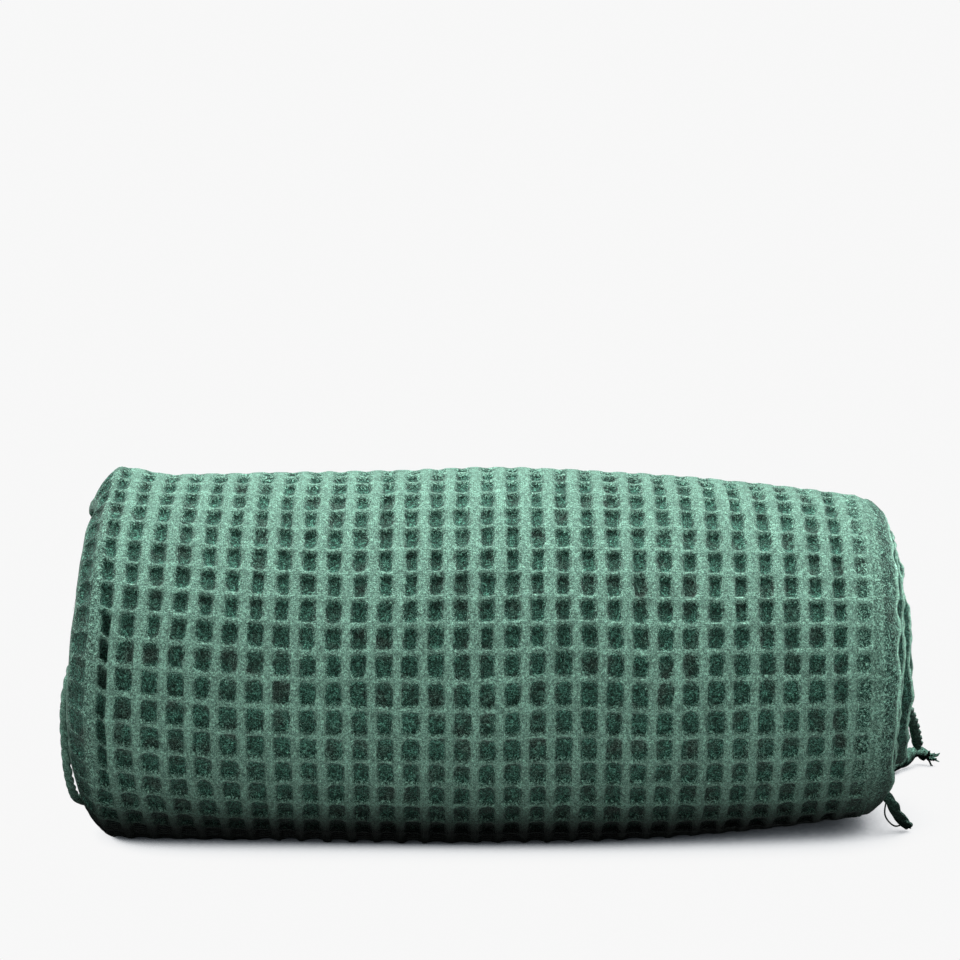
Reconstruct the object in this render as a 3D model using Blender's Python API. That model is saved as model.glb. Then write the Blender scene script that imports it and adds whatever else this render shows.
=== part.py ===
"""A waffle weave cotton blanket, folded into a strip of four layers and rolled up, lying on a floor.

Metres, +Z up. X runs along the roll and its front is towards -Y. The origin is on the floor under the roll's axis, at
mid-length. The strip leaves the roll under the axis and its free end lies on the floor behind, with the twisted
fringe of each layer. The left end shows the fold of every turn, the right end its hems.
"""

import math

import bmesh
import bpy
from mathutils import Vector

# The strip: the blanket is 1.30 m wide and 1.70 m long, and is folded twice across its width.
BLANKET_WIDTH = 1.30
LAYERS = 4
LAYER_THICK = 0.00265
TURN_THICK = LAYERS * LAYER_THICK
STRIP_WIDTH = BLANKET_WIDTH / LAYERS + 0.0025  # the folds' own thickness adds a little
HALF = STRIP_WIDTH / 2

# The roll: a spiral, flattened where it lies on the floor.
BOTTOM_RADIUS = 0.0800  # of the outermost turn, where it leaves the roll under the axis
AXIS_HEIGHT = 0.0748
FLOOR_SQUEEZE = 0.93  # the share of its thickness that a turn keeps between the axis and the floor
STEPS = 41  # rows of the weave in one turn
STEP_ANGLE = 2 * math.pi / STEPS
TURNS_SHOWN = 5.75  # turns that the end faces show, around a plain core
LAST_STEP = round(TURNS_SHOWN * STEPS)
CORE_DIP = 0.0030

# How the roll narrows towards its two ends: over its length, and round its edges.
LEFT_DROP = 0.045
RIGHT_DROP = 0.167
LEFT_POWER = 1.0
RIGHT_POWER = 1.8
LEFT_EDGE = (0.014, 0.0105)  # (length, drop) of the rounding at the end itself
RIGHT_EDGE = (0.009, 0.0050)

# How the turns lie along X: a pulled fold at the upper left, and inner turns pushed out at the right.
LEFT_WANDER = 0.0068
WANDER_STEPS = (4, 13, 24, 34)
INNER_PUSH = 0.0060
PUSH_TILT = 0.0045  # more than that below the axis, and less above it
PUSH_POWER = 0.66
WAVE = 0.0012
WAVES_IN_A_TURN = 1.7

# The weave: pits between ribs, one for each cell, and a smaller pit in the hem.
CELL_ACROSS = 0.0098
PIT_DEPTH = 0.0024
FIRST_PIT_ROW = 4
HEM_WIDTH = 0.0092
HEM_PIT_DEPTH = 0.0010

# From the outer to the inner side of a turn: how far each layer's edge stands back from the end of the roll.
LEFT_BACK = tuple(TURN_THICK / 2 * (1 - math.sqrt(1 - (1 - k / 2) ** 2)) for k in range(LAYERS))
RIGHT_BACK = (0.0, 0.0035, 0.0005, 0.0030)

# The free end of the strip, on the floor behind the axis.
FLAP_REACH = 0.048
FLAP_STEPS = 5
FLAP_JOIN = 2  # this many of its steps are still under the roll

# The fringe: strands with a knotted tip, four sides each, on a backing along the free end.
GAP = 0.0003
BACKING = 0.0030
STRAND = 0.0030
STRANDS_IN_A_ROW = 48
ROW_HALF = 0.1520
STRAND_LENGTHS = (0.092, 0.083)  # by turns, so that neighbouring knots lie apart
RINGS = ((0.08, 1.0), (0.28, 1.0), (0.52, 1.0), (0.76, 1.0), (0.83, 1.4), (0.90, 1.0), (1.0, 1.2))  # (place, size)
UPPER_LEVEL = 0.0047
SETTLE = 0.032  # the length over which a strand comes down to its level
LEFT_SPREAD = 0.006
RIGHT_SPREAD = 0.022
SWAY = 0.0016
SWAYS_IN_A_ROW = 6

# Strands that show in front: centre points from the root to the tip, and the size of each ring in strand widths.
CORNER_ARCH = ((0.1530, 0.0580, 0.0190), (0.1620, 0.0660, 0.0290), (0.1760, 0.0760, 0.0350))
CORNER_ARCH += ((0.1858, 0.0860, 0.0352), (0.1925, 0.1010, 0.0265), (0.1972, 0.1150, 0.0164), (0.1995, 0.1250, 0.0095))
CORNER_ARCH_SIZES = (1.1, 1.1, 1.1, 1.1, 1.1, 1.1, 1.2)
CORNER_LOW = ((0.1530, 0.0600, 0.0060), (0.1640, 0.0780, 0.0015), (0.1780, 0.0980, 0.0015))
CORNER_LOW += ((0.1890, 0.1115, 0.0022), (0.1950, 0.1220, 0.0016), (0.2000, 0.1240, 0.0016), (0.2060, 0.1200, 0.0018))
CORNER_LOW_SIZES = (1.0, 1.0, 1.0, 1.45, 1.0, 1.0, 1.2)
LEFT_STRAND = ((-0.1638, -0.0310, 0.0840), (-0.1642, -0.0345, 0.0822), (-0.1650, -0.0400, 0.0784))
LEFT_STRAND += ((-0.1656, -0.0480, 0.0718), (-0.1662, -0.0520, 0.0637), (-0.1665, -0.0530, 0.0559))
LEFT_STRAND += ((-0.1664, -0.0520, 0.0476), (-0.1662, -0.0480, 0.0379), (-0.1658, -0.0420, 0.0294))
LEFT_STRAND += ((-0.1658, -0.0310, 0.0215), (-0.1658, -0.0150, 0.0162), (-0.1656, 0.0030, 0.0115))
LEFT_SIZES = (1.2, 1.2, 1.0, 1.0, 1.0, 1.0, 1.0, 1.0, 1.0, 1.0, 1.0, 1.1)
RIGHT_STRAND = ((0.1662, -0.0240, 0.0206), (0.1670, -0.0212, 0.0190), (0.1675, -0.0195, 0.0178))
RIGHT_STRAND += ((0.1694, -0.0120, 0.0137), (0.1742, -0.0010, 0.0070), (0.1786, 0.0100, 0.0026))
RIGHT_SIZES = (1.2, 1.2, 1.0, 1.1, 1.3, 1.1)

GREEN = (0.055, 0.150, 0.105, 1.0)
DARK_GREEN = (0.040, 0.115, 0.080, 1.0)
COTTON_ROUGHNESS = 0.95


def clear_scene():
    for obj in list(bpy.data.objects):
        bpy.data.objects.remove(obj)


def cotton(name, colour):
    """A matt cotton material of one colour."""
    material = bpy.data.materials.new(name)
    material.use_nodes = True
    shader = material.node_tree.nodes["Principled BSDF"]
    shader.inputs["Base Color"].default_value = colour
    shader.inputs["Roughness"].default_value = COTTON_ROUGHNESS
    shader.inputs["Metallic"].default_value = 0.0
    material.diffuse_color = colour
    return material


def node_from(bm, name, material):
    """The finished bmesh as a named object of its own."""
    bmesh.ops.recalc_face_normals(bm, faces=bm.faces)
    mesh = bpy.data.meshes.new(name)
    bm.to_mesh(mesh)
    bm.free()
    mesh.materials.append(material)
    obj = bpy.data.objects.new(name, mesh)
    bpy.context.scene.collection.objects.link(obj)
    return obj


def smooth(t):
    """0 before 0, 1 after 1, and smooth in between."""
    t = min(max(t, 0.0), 1.0)
    return t * t * (3 - 2 * t)


def between(low, high, value):
    """How far value is on its way from low to high, smoothed."""
    return smooth((value - low) / (high - low))


# The roll.


def radius_at(x, radius):
    """The radius at x of a turn that has this radius at mid-length."""
    share = min(abs(x) / HALF, 1.0)
    drop = RIGHT_DROP * share**RIGHT_POWER if x > 0 else LEFT_DROP * share**LEFT_POWER
    length, edge_drop = RIGHT_EDGE if x > 0 else LEFT_EDGE
    into_edge = min(max(1 - (HALF - abs(x)) / length, 0.0), 1.0)
    return radius * (1 - drop - edge_drop / BOTTOM_RADIUS * into_edge**2)


def wound(step, x):
    """(y, z) on the outer side of the strip, so many steps in from where it leaves the roll."""
    angle = step * STEP_ANGLE
    radius = radius_at(x, BOTTOM_RADIUS - TURN_THICK * step / STEPS)
    z = AXIS_HEIGHT - radius * math.cos(angle)
    floor = FLOOR_SQUEEZE * TURN_THICK * round(step / STEPS)
    return -radius * math.sin(angle), max(z, floor)


def flap(step, level, x):
    """(y, z) in the free end: step 0 is under the axis, FLAP_STEPS the tip; level counts layers up from below."""
    share = step / FLAP_STEPS
    layer = LAYER_THICK * (FLOOR_SQUEEZE + (1 - FLOOR_SQUEEZE) * share)
    return FLAP_REACH * share, wound(0, x)[1] + layer * level


def place(step, level, x):
    """(y, z) of a point of the strip: level 0 is its outer side, and level LAYERS its inner side."""
    if step < 0:
        return flap(-step, level, x)
    outer, inner = wound(step, x), wound(step + STEPS, x)
    share = level / LAYERS
    return outer[0] + (inner[0] - outer[0]) * share, outer[1] + (inner[1] - outer[1]) * share


def wander(step, x):
    """How far the outer turn is pulled to the right at its upper left."""
    begin, full, still, over = WANDER_STEPS
    pulled = between(begin, full, step) * (1 - between(still, over, step))
    return LEFT_WANDER * pulled * between(0.4, 1.0, -x / HALF)


def push(step):
    """How far an inner turn has slid along X: most at a third of the way in, with a slow wave."""
    share = min(max(step / STEPS - 1, 0.0) / (TURNS_SHOWN - 1), 1.0)
    angle = step * STEP_ANGLE
    slid = (INNER_PUSH + PUSH_TILT * math.cos(angle)) * math.sin(math.pi * share**PUSH_POWER) ** 2
    return slid + WAVE * smooth(share * 4) * math.sin(WAVES_IN_A_TURN * angle)


def columns():
    """X of each rib from the left fold to the hem, with the hem's stitched line and its edge last."""
    left = TURN_THICK / 2 - HALF
    stitched = HALF - HEM_WIDTH
    count = round((stitched - left) / CELL_ACROSS)
    pitch = (stitched - left) / count
    return [left + pitch * j for j in range(count + 1)] + [HALF]


def outline_keys():
    """The (step, level) keys around one cross-section: the free end's underside, the wound side, its top, its tip."""
    outside = [(step, 0) for step in range(-FLAP_STEPS, STEPS - FLAP_JOIN + 1)]
    top = [(step, LAYERS) for step in range(-FLAP_JOIN - 1, -FLAP_STEPS - 1, -1)]
    tip = [(-FLAP_STEPS, level) for level in range(LAYERS - 1, 0, -1)]
    return outside + top + tip


def rim_point(key, x):
    """The point of one cross-section at this key."""
    step, level = key
    slid = wander(step, x) if level == 0 else 0.0
    return (x + slid, *place(step, level, x))


def end_face(bm, rim, side):
    """The spiral end face that closes one end of the roll: four layers wide, turn inside turn, around a core."""
    back = RIGHT_BACK if side > 0 else LEFT_BACK
    points = dict(rim)

    def point(step, level):
        """The vertex at this key, made when first asked for. The inner side of a turn is the next turn's outer."""
        if level == LAYERS and step >= -FLAP_JOIN:
            step, level = step + STEPS, 0
        if (step, level) not in points:
            x = side * (HALF - back[level])
            y, z = place(step, level, x)
            slid = push(step + level * STEPS / LAYERS) + wander(step, x)
            points[step, level] = bm.verts.new((x + slid, y, z))
        return points[step, level]

    for step in range(-FLAP_STEPS, LAST_STEP):
        for level in range(LAYERS):
            corners = (step, level), (step + 1, level), (step + 1, level + 1), (step, level + 1)
            bm.faces.new([point(*corner) for corner in corners])
    core = [point(LAST_STEP, level) for level in range(LAYERS)]
    core += [point(step, 0) for step in range(LAST_STEP + STEPS, LAST_STEP, -1)]
    middle = bm.verts.new((side * (HALF - CORE_DIP) + push(LAST_STEP), 0.0, AXIS_HEIGHT))
    for here, there in zip(core, core[1:] + core[:1]):
        bm.faces.new((here, there, middle))


def press_pits(bm, faces, depth):
    """Each face becomes a pit with four sloping sides, as a cell of the weave is."""
    bmesh.ops.poke(bm, faces=faces, offset=-depth, center_mode="MEAN")


def build_roll(material):
    """The wound strip as one solid, with its rows of cells, its flat underside, its free end and its spiral ends."""
    bm = bmesh.new()
    keys = outline_keys()
    rims = [{key: bm.verts.new(rim_point(key, x)) for key in keys} for x in columns()]
    cells, hem_cells = [], []
    for j, (left, right) in enumerate(zip(rims, rims[1:])):
        for here, there in zip(keys, keys[1:] + keys[:1]):
            face = bm.faces.new((left[here], left[there], right[there], right[here]))
            wound_side = here[1] == 0 and here[0] >= FIRST_PIT_ROW and there[1] == 0
            if wound_side and j < len(rims) - 2:
                (hem_cells if j == len(rims) - 3 else cells).append(face)
    end_face(bm, rims[0], -1)
    end_face(bm, rims[-1], 1)
    bmesh.ops.recalc_face_normals(bm, faces=bm.faces)
    press_pits(bm, cells, PIT_DEPTH)
    press_pits(bm, hem_cells, HEM_PIT_DEPTH)
    return node_from(bm, "rolled_blanket", material)


# The fringe.


def ring(bm, centre, tangent, hint, size):
    """Four vertices around a centre: lower left, lower right, upper right, upper left, looking along the strand."""
    aside = tangent.cross(hint).normalized() * (STRAND / 2 * size)
    up = aside.cross(tangent).normalized() * (STRAND / 2 * size)
    return [bm.verts.new(centre + offset) for offset in (-aside - up, aside - up, aside + up, -aside + up)]


def grow_strand(bm, path, sizes, hint, root=None):
    """A four-sided strand along a path, from the root's four vertices if they are given, and closed at its tip."""
    path = [Vector(point) for point in path]
    previous = root
    for k, (centre, size) in enumerate(zip(path, sizes)):
        tangent = path[min(k + 1, len(path) - 1)] - path[max(k - 1, 0)]
        corners = ring(bm, centre, tangent, Vector(hint), size)
        if previous is None:
            bm.faces.new(corners)
        else:
            for i in range(4):
                n = (i + 1) % 4
                bm.faces.new((previous[i], previous[n], corners[n], corners[i]))
        previous = corners
    bm.faces.new(previous)


def strand_path(x, begin, length, level, sway_phase):
    """Centre points of a strand that comes down from its root and lies level, leaning out towards the row's ends."""
    lean = RIGHT_SPREAD * between(0.4, 1.0, x / ROW_HALF) - LEFT_SPREAD * between(0.4, 1.0, -x / ROW_HALF)
    sway = SWAY * math.sin(SWAYS_IN_A_ROW * math.pi * x / ROW_HALF + sway_phase)
    path = []
    for share, size in RINGS:
        resting = level + STRAND / 2 * size
        z = begin.z + (resting - begin.z) * smooth(share * length / SETTLE)
        path.append((x + (lean + sway) * share**1.5, begin.y + share * length, z))
    return path


def build_fringe(name, material, levels, rest_level, sway_phase, corner, corner_sizes):
    """One row of strands on a backing that runs along the free end, across two of its layers."""
    bm = bmesh.new()
    low, high = levels
    pitch = 2 * ROW_HALF / STRANDS_IN_A_ROW
    front_y = FLAP_REACH + GAP
    back_y = front_y + BACKING
    sections = []
    for k in range(2 * STRANDS_IN_A_ROW):
        x = -ROW_HALF + pitch * (k // 2) + (pitch + (STRAND if k % 2 else -STRAND)) / 2
        z_low = flap(FLAP_STEPS, low, x)[1]
        z_high = flap(FLAP_STEPS, high, x)[1] - GAP
        corners = (front_y, z_low), (back_y, z_low), (back_y, z_high), (front_y, z_high)
        sections.append([bm.verts.new((x, y, z)) for y, z in corners])
    bm.faces.new(sections[0])
    bm.faces.new(sections[-1])
    for k, (left, right) in enumerate(zip(sections, sections[1:])):
        for i in range(4):
            n = (i + 1) % 4
            if i == 1 and k % 2 == 0:
                continue
            bm.faces.new((left[i], left[n], right[n], right[i]))
        if k % 2:
            continue
        root = (left[1], right[1], right[2], left[2])
        begin = sum((vertex.co for vertex in root), Vector()) / 4
        strand = k // 2
        if strand == STRANDS_IN_A_ROW - 1:
            grow_strand(bm, corner, corner_sizes, (0, 0, 1), root)
            continue
        length = STRAND_LENGTHS[strand % 2]
        path = strand_path(begin.x, begin, length, rest_level, sway_phase)
        grow_strand(bm, path, [size for _, size in RINGS], (0, 0, 1), root)
    return node_from(bm, name, material)


def build_loose_strand(name, material, path, sizes, hint):
    """A single strand that hangs out of an end of the roll, with its own thick root."""
    bm = bmesh.new()
    grow_strand(bm, path, sizes, hint)
    return node_from(bm, name, material)


def main():
    clear_scene()
    green = cotton("green_cotton", GREEN)
    dark_green = cotton("dark_green_cotton", DARK_GREEN)
    build_roll(green)
    build_fringe("lower_fringe", dark_green, (0, 2), 0.0, 0.0, CORNER_LOW, CORNER_LOW_SIZES)
    build_fringe("upper_fringe", green, (2, 4), UPPER_LEVEL, 2.0, CORNER_ARCH, CORNER_ARCH_SIZES)
    build_loose_strand("left_strand", green, LEFT_STRAND, LEFT_SIZES, (-1, 0, 0))
    build_loose_strand("right_strand", dark_green, RIGHT_STRAND, RIGHT_SIZES, (0, 0, 1))


main()
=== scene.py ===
"""A waffle weave cotton blanket, folded into a strip of four layers and rolled up, on a pale floor.

Metres, +Z up. X runs along the roll, and its front is towards -Y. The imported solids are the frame. The cloth
here follows the same strip, so a place on it is given by its step along the winding, its level in the strip
and its x.
"""

import math
import random

import bmesh
import bpy
from mathutils import Matrix, Vector, noise


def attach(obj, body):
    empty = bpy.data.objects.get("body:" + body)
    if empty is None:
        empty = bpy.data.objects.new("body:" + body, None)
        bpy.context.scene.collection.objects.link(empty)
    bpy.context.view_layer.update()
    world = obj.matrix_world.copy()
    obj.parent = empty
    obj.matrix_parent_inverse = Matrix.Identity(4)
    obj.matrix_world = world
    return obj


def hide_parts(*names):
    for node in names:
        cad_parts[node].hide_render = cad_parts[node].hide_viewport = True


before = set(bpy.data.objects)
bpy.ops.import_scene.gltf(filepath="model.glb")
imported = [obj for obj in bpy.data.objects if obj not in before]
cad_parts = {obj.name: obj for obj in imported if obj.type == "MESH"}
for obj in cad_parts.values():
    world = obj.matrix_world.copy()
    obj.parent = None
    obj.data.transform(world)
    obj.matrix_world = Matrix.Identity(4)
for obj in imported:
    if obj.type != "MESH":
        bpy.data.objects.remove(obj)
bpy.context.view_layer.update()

# The strip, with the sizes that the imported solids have.
BLANKET_WIDTH = 1.30
LAYERS = 4
LAYER_THICK = 0.00265
TURN_THICK = LAYERS * LAYER_THICK
STRIP_WIDTH = BLANKET_WIDTH / LAYERS + 0.0025
HALF = STRIP_WIDTH / 2

BOTTOM_RADIUS = 0.0800  # of the outermost turn, where it leaves the roll under the axis
AXIS_HEIGHT = 0.0748
FLOOR_SQUEEZE = 0.93  # how thick a layer is under the roll, as a share
STEPS = 41  # equal steps in one turn
STEP_ANGLE = 2 * math.pi / STEPS
TURNS_SHOWN = 5.75  # how many turns the solid's ends show

# The roll narrows towards its ends: by this share of its radius, and with this power of the way out.
LEFT_DROP = 0.045
RIGHT_DROP = 0.167
LEFT_POWER = 1.0
RIGHT_POWER = 1.8
LEFT_EDGE = (0.014, 0.0105)  # (length, drop) of the rounding at the end itself
RIGHT_EDGE = (0.009, 0.0050)

# (step, metres) that the outer turn's left end is pulled to the right.
LEFT_WANDER = (
    (-5, 0.0),
    (0, 0.0020),
    (3, 0.0028),
    (5, 0.0017),
    (7, 0.0002),
    (9, 0.0004),
    (11.8, 0.0021),
    (13.6, 0.0038),
    (16, 0.0042),
    (20, 0.0056),
    (26, 0.0056),
    (34, 0.0),
)
WANDER_SHARES = (0.3, 0.95)  # of the way to the left end, where the pull begins and where it is full
INNER_PUSH = 0.0060  # how far the inner turns have slid
PUSH_TILT = 0.0045  # and how much further at the bottom than at mid-height
PUSH_POWER = 0.66
WAVE = 0.0012
WAVES_IN_A_TURN = 1.7
RIGHT_BACK = (0.0, 0.0035, 0.0005, 0.0030)  # how far each layer's edge stands back from the right end

FLAP_REACH = 0.048  # how far the free end reaches behind the axis
FLAP_STEPS = 5

# The weave: cells across the strip (columns) and along the winding (rows), counted from rib to rib.
STITCH_COLUMN = 31
RIB_MARKS = (
    (0, -0.1543),
    (1, -0.1451),
    (3, -0.1245),
    (9.5, -0.0571),
    (29, 0.1362),
    (30, 0.1448),
    (STITCH_COLUMN, 0.1545),
)  # (column, x)
FOLD_CELL = 0.0096  # round the left fold
FOLD_FLAT_TO = TURN_THICK / 2 - HALF  # where the fold's round begins
FIRST_COLUMN = -2.35
COLUMN_STOPS = (0, 0.13, 0.23, 0.34, 0.5, 0.66, 0.77, 0.87)  # where a cell has vertices
FIRST_ROW = -5.8
SHOWN_ROW = 3  # below this row the cloth lies on the floor
LAST_ROW = 43
ROW_STOPS = (0, 0.08, 0.17, 0.34, 0.66, 0.83, 0.92)
FLOOR_ROW_STOPS = (0, 0.35, 0.65)
FRONT_ROW = 10
FRONT_STEP = 10.38
STEPS_A_ROW = 0.94
STEPS_A_LOW_ROW = 0.992  # below the front row
LEVELLING_BELOW = 1.0  # how nearly the rows below the axis stay level where the roll narrows
LEVELLING_ABOVE = 0.40
LEVELLING_SINE = 0.55
# (column, steps) that the rows climb at the left end.
ROW_RISE = ((-1, 0.92), (0, 0.80), (1, 0.56), (3, 0.38), (5, 0.22), (7, 0.09), (9.5, 0.0))
ROW_HUMP = 0.13  # the rows' small rise towards mid-length, in steps
ROW_HUMP_AT = (18.4, 3.6)  # (column, half width)
ROW_HUMP_STEPS = (14.5, 11.5)  # it fades out from the second of these to the first
PIT_DEPTH = 0.0030
PIT_HALF = (0.378, 0.472)  # half of a pit's opening, across and along, in cells
PIT_SQUARENESS = 5.0
PIT_FLOOR = 0.68  # the share of its half that is its floor
FLOOR_BOWL = 0.05  # how much higher a pit's floor is at its rim
BAR_DIP = 0.13  # how much lower the bars are than the ribs
YARNS_A_COLUMN = 12
YARNS_A_ROW = 14

# The deep trough that the column beside the left fold is pulled into.
TROUGH_STEPS = (5.0, 7.5, 11.8, 13.8)  # where it begins, is full, is full still and is over
TROUGH_DEPTH = 0.9
TROUGH_SQUEEZE = 0.36  # how much narrower its pits are
TROUGH_SHIFT = 0.13  # how far they lie from the middle of their cells
TROUGH_SKEW = 0.42  # how steeply its bars fall away from the fold
TROUGH_OVERHANG = 0.0009
FOLD_DIMPLE = 0.85  # the pits on the fold's face are this shallow along the trough

# The left fold and the top.
# Painted shade on the left fold, which turns away from the light.
FOLD_PAINTED_SHADE = 0.38
FOLD_PIT_PAINTED_SHADE = 0.9  # painted shade: how much further the dark of the pits reaches up their walls on the fold
FOLD_LIP = (-1.17, 0.13)  # (column, half width) of the painted highlight down the left fold
FOLD_LIP_STEPS = (7.5, 8.0)  # round this step, and so many steps to each side
CORNER_PUFF = 0.0045  # the fold stands proud at the upper left
CORNER_STEPS = (21.0, 3.0)  # round this step, and so many steps to each side
# (how far the fold is pulled in, round this step, steps to each side).
FOLD_PULLS = ((0.0032, 18.6, 1.45), (0.0026, 20.8, 2.6), (0.0008, 16.3, 2.6))
PULLED_TURNS = (2.8, 1.2)  # inner folds are pulled with it up to the second, and not at all from the first
TOP_LIFT = 0.0015  # how much higher than the solid the cloth stands over the top
TOP_STEPS = (21.5, 7.5)  # round this step, and so many steps to each side
TOP_CLOSE = 0.18  # how much narrower the pits are there
TOP_CLOSE_STEPS = (9.5, 14.5)
SURFACE_SINK = 0.0004
INNER_SINK = 0.0006

# The hem: past the stitching, a column is a stretch of hem, round its edge and back inside.
HEM_STOPS = [31, 31.06, 31.14, 31.24, 31.4, 31.55, 31.68, 31.76]
HEM_STOPS += [31.82, 31.88, 31.94, 32.0, 32.06, 32.12, 32.2, 32.5]
HEM_CELL = 0.0093
HEM_LEVELS = (0.15, 0.98)
HEM_ROUND = 0.42  # half of a hem's thickness, in layers
HEM_REACH = 0.0009
HEM_LIP = 0.0004
HEM_LIP_AT = (-0.0016, 0.0016)  # (arc, half width)
HEM_PIT = 0.60  # the pits of the doubled cloth inside the stitching are this shallow
HEM_TONE_AND_PAINTED_SHADE = 0.60  # the hem is this dark, where a pit's bottom is 1: partly its doubled cloth's darker mottle, partly painted shade where the end turns from the light
STITCH_HALF = 0.10  # half the width of the groove along the stitching, in columns
STITCH_GROOVE = 0.0006
# painted shade in the groove along the stitching
STITCH_PAINTED_SHADE = 0.28
STITCH_LENGTH = 0.20  # in steps
STITCH_PITCH = 1.35  # from stitch to stitch, in stitches
LIP = (-0.0008, 0.0013)  # (arc, half width) of the painted highlight along an edge's lip
# how much paler the painted highlights are
PAINTED_LIP_HIGHLIGHT = 2.3

# The cloth's unevenness: (how much, the size of its spots in cells, its own layer of the noise).
ROW_DRIFT = (0.06, 5.0, 2.5)  # in steps
ROW_JITTER = (0.035, 1.3, 1.5)
COLUMN_DRIFT = (0.00045, 2.5, 3.5)
COLUMN_JITTER = (0.00025, 0.8, 5.5)
PIT_DEPTHS = (0.18, 1.37, 4.5)  # from cell to cell, as a share
PIT_WIDTHS = (0.16, 1.37, 11.5)
PIT_LENGTHS = (0.12, 1.37, 12.5)
RAGGED_RIM = (0.12, 0.21, 13.5)
SWELL = (0.0006, 6.0, 7.5)
RIPPLE = (0.00022, 0.9, 8.5)
HEM_PUFF = (0.0004, 0.55, 21.5)
HEM_WAVE = (0.0018, 1.2, 22.5)
HEM_RIPPLE = (0.0006, 0.5, 23.5)
INNER_DENTS = (0.0009, 3.0, 31.5)
EDGE_WAVE = (0.0022, 2.3, 41.5)
EDGE_RIPPLE = (0.0007, 0.6, 42.5)
EDGE_ROUGH = (0.0004, 0.45, 43.5)
EDGE_SQUEEZE = (0.25, 1.4, 44.5)
FREE_END_SWELL = (0.0005, 4.0, 51.5)
END_EDGE_WAVE = (0.0008, 2.0, 52.5)
END_EDGE_RIPPLE = (0.0005, 0.4, 53.5)
STITCH_WANDER = (0.0002, 0.7, 61.5)

# What shows of the inner turns.
CORE_STEP = 296  # the end faces' spiral runs on to here
INNER_FOLD_STOPS = (0, 0.2, 0.36, 0.64, 0.8)
INNER_PIT = 0.6  # how deep the pits are here, as a share
# (step, metres) that the edges at the right end have slid.
RIGHT_SLIDE = (
    (41, 0.0),
    (45, 0.0036),
    (54, 0.0038),
    (57, 0.0043),
    (62, 0.0036),
    (76, 0.0040),
    (84, 0.0078),
    (88, 0.0084),
    (92, 0.0080),
    (97, 0.0068),
    (106, 0.0050),
    (130, 0.0060),
    (296, 0.0),
)
# (name, lowest and highest level, how far back from the end, first step).
EDGES = (
    ("hem_of_inner_turns", 0.10, 0.90, RIGHT_BACK[0], STEPS + 0.4),
    ("second_hem", 1.05, 1.95, RIGHT_BACK[1], -FLAP_STEPS),
    ("right_fold", 2.06, 3.94, RIGHT_BACK[2], -FLAP_STEPS),
)
EDGE_ARCS = [-0.009, -0.005, -0.0025, -0.0018, -0.0011, -0.0005, 0.0, 0.0005, 0.0011, 0.0018, 0.0025, 0.005]
ROUND_ARC = 0.0026  # the arcs within this are stretched with the edge's thickness
ROUND_HALF = 0.0012  # the half thickness that they are for
ARC_CELLS = 250  # cells in a metre of arc, for the noise
EDGE_TUCK = 0.55  # how many layers deep an edge's cloth tucks in behind the edge in front
TUCK_ARCS = (-0.0016, -0.0060)
EDGE_PAINTED_SHADE = 0.75  # painted shade: how much darker it gets there, where the cloth tucks in
PAINTED_SHADE_ARCS = (-0.0012, -0.0036)
DRUM_RADIUS = 0.050
DRUM_ENDS = (-0.1400, 0.1500)

# The free end.
FREE_END_STOPS = (0, 0.15, 0.3, 0.5, 0.7, 0.85)
FREE_END_PIT = 0.8
FREE_END_SINK = 0.0005
END_EDGE_STOPS = (0, 0.34, 0.67)
END_EDGE_GAP = 0.06  # between two layers' edges, on each side, in layers

# The fringe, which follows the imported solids. The last strand of each row is the one at the corner.
STRAND = 0.0030
STRANDS_IN_A_ROW = 48
ROW_HALF = 0.1520
STRAND_LENGTHS = (0.092, 0.083)
STRAND_SHARES = (0.0, 0.12, 0.28, 0.45, 0.62, 0.80, 0.92, 1.0)
UPPER_LEVEL = 0.0047
SETTLE = 0.032
LEFT_SPREAD = 0.006
RIGHT_SPREAD = 0.022
SWAY = 0.0016
SWAYS_IN_A_ROW = 6
TWIST_LENGTH = 0.0077  # of one full turn of the two plies
PLY_REACH = 0.13  # of a ply's centre from the strand's, as a share of its width
PLY_RADIUS = 0.37
ROOT_INSIDE = 0.002  # each strand begins so far inside the cloth
ROOT_LENGTH = 0.010  # a strand is thicker up to here
KNOT_PLACE = 0.83
KNOT_LOOPS = ((-0.35, 0.5), (0.35, -0.4))  # (place along the strand, slant), in the loop's radius
KNOT_REACH = 0.42  # the loop's radius, as a share of the knot's width
KNOT_THREAD = 0.26
KNOT_PARTS = 10
FRAY_THREAD = (0.07, 0.12)  # a frayed thread's radius, as a share of the strand's width
FIBRES = 420  # on the outer turn

CORNER_ARCH = (
    (0.1530, 0.0580, 0.0190),
    (0.1620, 0.0660, 0.0290),
    (0.1760, 0.0760, 0.0350),
    (0.1858, 0.0860, 0.0352),
    (0.1912, 0.1010, 0.0265),
    (0.1950, 0.1150, 0.0168),
    (0.1972, 0.1250, 0.0104),
)
CORNER_LOW = (
    (0.1530, 0.0600, 0.0060),
    (0.1640, 0.0800, 0.0020),
    (0.1780, 0.1020, 0.0025),
    (0.1858, 0.1155, 0.0035),
    (0.1915, 0.1235, 0.0036),
    (0.1945, 0.1300, 0.0052),
    (0.1976, 0.1328, 0.0058),
    (0.2012, 0.1300, 0.0046),
)
LEFT_STRAND = (
    (-0.1610, -0.0310, 0.0840),
    (-0.1614, -0.0345, 0.0822),
    (-0.1622, -0.0400, 0.0784),
    (-0.1634, -0.0480, 0.0718),
    (-0.1645, -0.0520, 0.0637),
    (-0.1647, -0.0530, 0.0559),
    (-0.1646, -0.0520, 0.0476),
    (-0.1645, -0.0480, 0.0379),
    (-0.1641, -0.0420, 0.0294),
    (-0.1637, -0.0310, 0.0215),
    (-0.1635, -0.0150, 0.0162),
    (-0.1635, 0.0030, 0.0115),
)
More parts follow.
